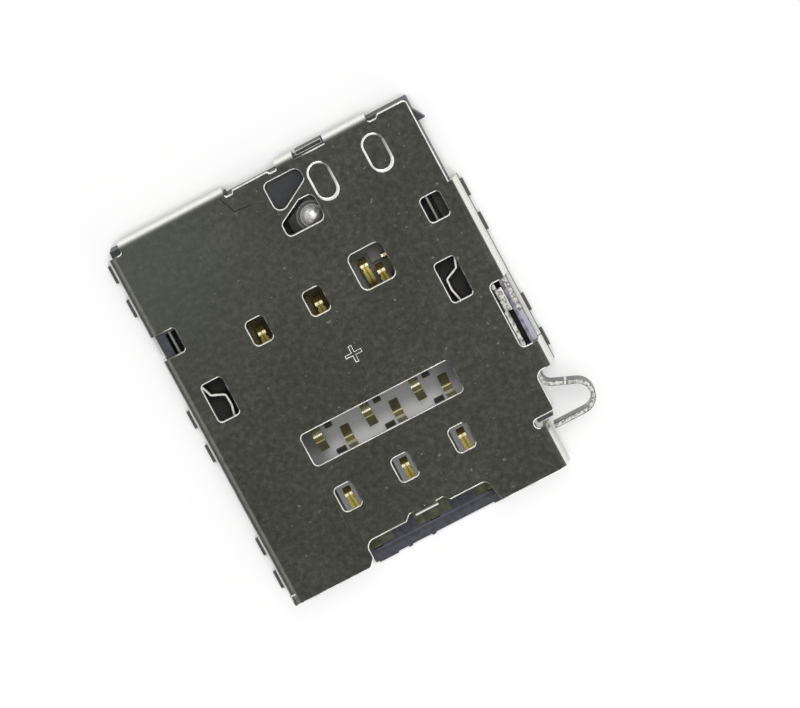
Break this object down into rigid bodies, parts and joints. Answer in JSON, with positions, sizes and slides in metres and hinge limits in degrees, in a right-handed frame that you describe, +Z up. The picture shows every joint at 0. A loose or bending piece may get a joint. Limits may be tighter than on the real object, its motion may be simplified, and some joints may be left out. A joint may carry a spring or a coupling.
{
  "type": "sim card connector",
  "caption": "Flat board-mounted card tray connector: a windowed steel shell folded over a moulded base with spring contacts, latch springs and a hooked pin-eject rod and lever.",
  "frame": {"origin": "on the board plane under the centre of the shell's face", "axes": "+Z up from the board, +Y from the card entry towards the eject lever, +X towards the eject rod"},
  "size_m": [0.0148, 0.0163, 0.0014],
  "materials": {
    "shell_steel": "dark satin plated stainless sheet with bright sheared edges",
    "housing_plastic": "matte moulded",
    "contact_gold": "gold plated spring sheet",
    "mechanism_steel": "bright stainless strip"
  },
  "bodies": {
    "base": {"shell": "shell_steel", "housing": "housing_plastic", "sim_contact_1": "contact_gold", "sim_contact_2": "contact_gold", "sim_contact_3": "contact_gold", "sim_contact_4": "contact_gold", "sim_contact_5": "contact_gold", "sim_contact_6": "contact_gold", "row_contact_1": "contact_gold", "row_contact_2": "contact_gold", "row_contact_3": "contact_gold", "row_contact_4": "contact_gold", "row_contact_5": "contact_gold", "row_contact_6": "contact_gold", "detect_contact": "contact_gold", "detect_terminal": "contact_gold", "lever_pivot": "mechanism_steel", "latch_spring_left": "mechanism_steel", "latch_spring_right": "mechanism_steel"},
    "rod": {"eject_rod": "mechanism_steel"},
    "lever": {"eject_lever": "mechanism_steel"}
  },
  "joints": [
    {"name": "rod_slide", "type": "slide", "parent": "base", "child": "rod", "axis": [0, -1, 0], "range_m": [0, 0.0015]},
    {"name": "lever_turn", "type": "hinge", "parent": "base", "child": "lever", "pos_m": [0.00115, 0.00545, 0.00082], "axis": [0, 0, -1], "range_deg": [0, 17.45]}
  ],
  "couplings": [
    {"joint": "lever_turn", "follows": "rod_slide", "rad_per_m": 202.57}
  ]
}
